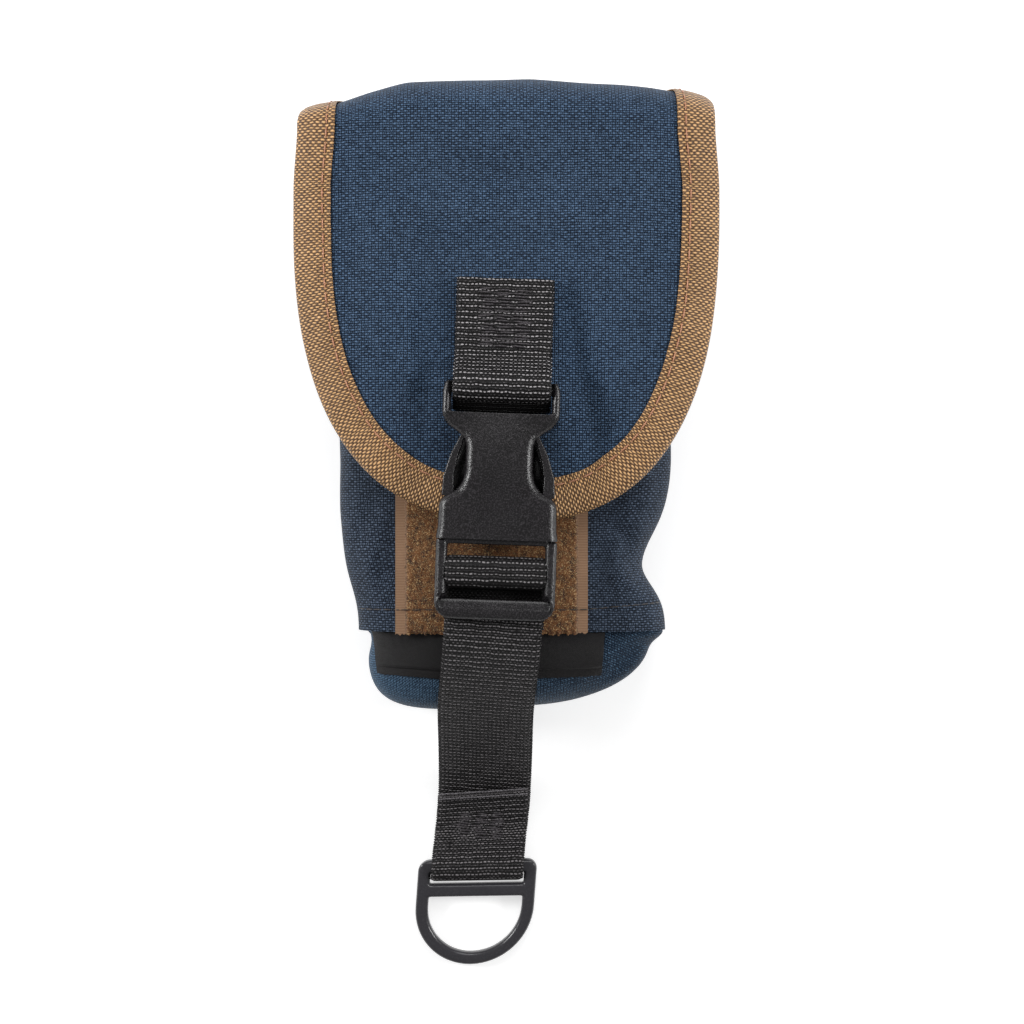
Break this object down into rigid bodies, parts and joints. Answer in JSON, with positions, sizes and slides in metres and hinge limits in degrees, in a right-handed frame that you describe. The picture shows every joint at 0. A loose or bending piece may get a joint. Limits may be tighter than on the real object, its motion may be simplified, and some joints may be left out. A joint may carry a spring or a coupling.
{
  "type": "phone belt pouch",
  "caption": "Soft phone pouch worn on a belt: deep body, rounded flap with a bound edge, side-release buckle and a webbing tail with a D-ring.",
  "frame": {"origin": "on the table, under the middle of the outline, with the pouch lying on its back", "axes": "+Z out of the pouch's front, +Y towards the folded top of the flap, +X to the right as the front is seen"},
  "size_m": [0.1126, 0.2376, 0.0504],
  "materials": {
    "navy_cloth": "coarse plain-weave nylon, matt",
    "end_cloth": "the same nylon, a little lighter",
    "binding": "woven binding tape, matt brown",
    "loop_pile": "brushed loop pile",
    "hooks": "small plastic hooks on a woven back",
    "webbing": "ribbed black webbing",
    "label_cloth": "smooth woven tab, left bare",
    "thread": "sewing thread",
    "buckle_plastic": "moulded acetal with a fine grain",
    "ring_plastic": "moulded acetal with a fine grain"
  },
  "bodies": {
    "pouch": {"back_panel": "navy_cloth", "front_wrap": "navy_cloth", "bottom_panel": "end_cloth", "mouth_binding": "binding", "seam_tape_left": "binding", "seam_tape_right": "binding", "loop_patch": "loop_pile", "label": "label_cloth", "belt_loop": "webbing", "belt_stitch_upper": "thread", "belt_stitch_lower": "thread", "load_strap": "webbing"},
    "flap_top": {"flap_top_panel": "navy_cloth", "flap_top_lining": "navy_cloth", "top_binding_left": "binding", "top_binding_right": "binding"},
    "flap": {"flap_panel": "navy_cloth", "flap_lining": "navy_cloth", "flap_binding": "binding", "hook_patch": "hooks", "flap_strap": "webbing", "flap_bartack": "thread", "buckle_socket": "buckle_plastic"},
    "plug": {"buckle_plug": "buckle_plastic", "strap_wrap": "webbing"},
    "left_arm": {"latch_arm_left": "buckle_plastic"},
    "right_arm": {"latch_arm_right": "buckle_plastic"},
    "tail_upper": {"tail_strap": "webbing"},
    "tail_lower": {"tail_end": "webbing", "tail_bartack": "thread"},
    "ring": {"d_ring": "ring_plastic"}
  },
  "joints": [
    {"name": "flap_top_fold", "type": "hinge", "parent": "pouch", "child": "flap_top", "pos_m": [0, 0.1071, 0.0062], "axis": [-1, 0, 0], "range_deg": [0, 75]},
    {"name": "flap_fold", "type": "hinge", "parent": "flap_top", "child": "flap", "pos_m": [0, 0.1071, 0.041], "axis": [-1, 0, 0], "range_deg": [0, 95]},
    {"name": "buckle_release", "type": "slide", "parent": "pouch", "child": "plug", "axis": [-0.0349, -0.9994, 0], "range_m": [0, 0.03], "deforming": ["latch_arm_left", "latch_arm_right"]},
    {"name": "latch_left_press", "type": "hinge", "parent": "plug", "child": "left_arm", "pos_m": [-0.01365, 0.00369, 0.0459], "axis": [0, 0, -1], "range_deg": [0, 8], "stiffness_Nm_per_rad": 0.4},
    {"name": "latch_right_press", "type": "hinge", "parent": "plug", "child": "right_arm", "pos_m": [0.00914, 0.0029, 0.0459], "axis": [0, 0, 1], "range_deg": [0, 8], "stiffness_Nm_per_rad": 0.4},
    {"name": "tail_swing", "type": "hinge", "parent": "plug", "child": "tail_upper", "pos_m": [-0.00305, -0.01939, 0.0459], "axis": [-0.9994, 0.0349, 0], "range_deg": [0, 100]},
    {"name": "tail_bend", "type": "hinge", "parent": "tail_upper", "child": "tail_lower", "pos_m": [-0.0067, -0.06904, 0.00616], "axis": [-0.9973, 0.0732, 0], "range_deg": [0, 50]},
    {"name": "d_ring_swing", "type": "hinge", "parent": "tail_lower", "child": "ring", "pos_m": [-0.00829, -0.0908, 0.00361], "axis": [-0.9973, 0.0732, 0], "range_deg": [0, 120]}
  ],
  "couplings": [
    {"joint": "latch_right_press", "follows": "latch_left_press", "ratio": 1}
  ]
}
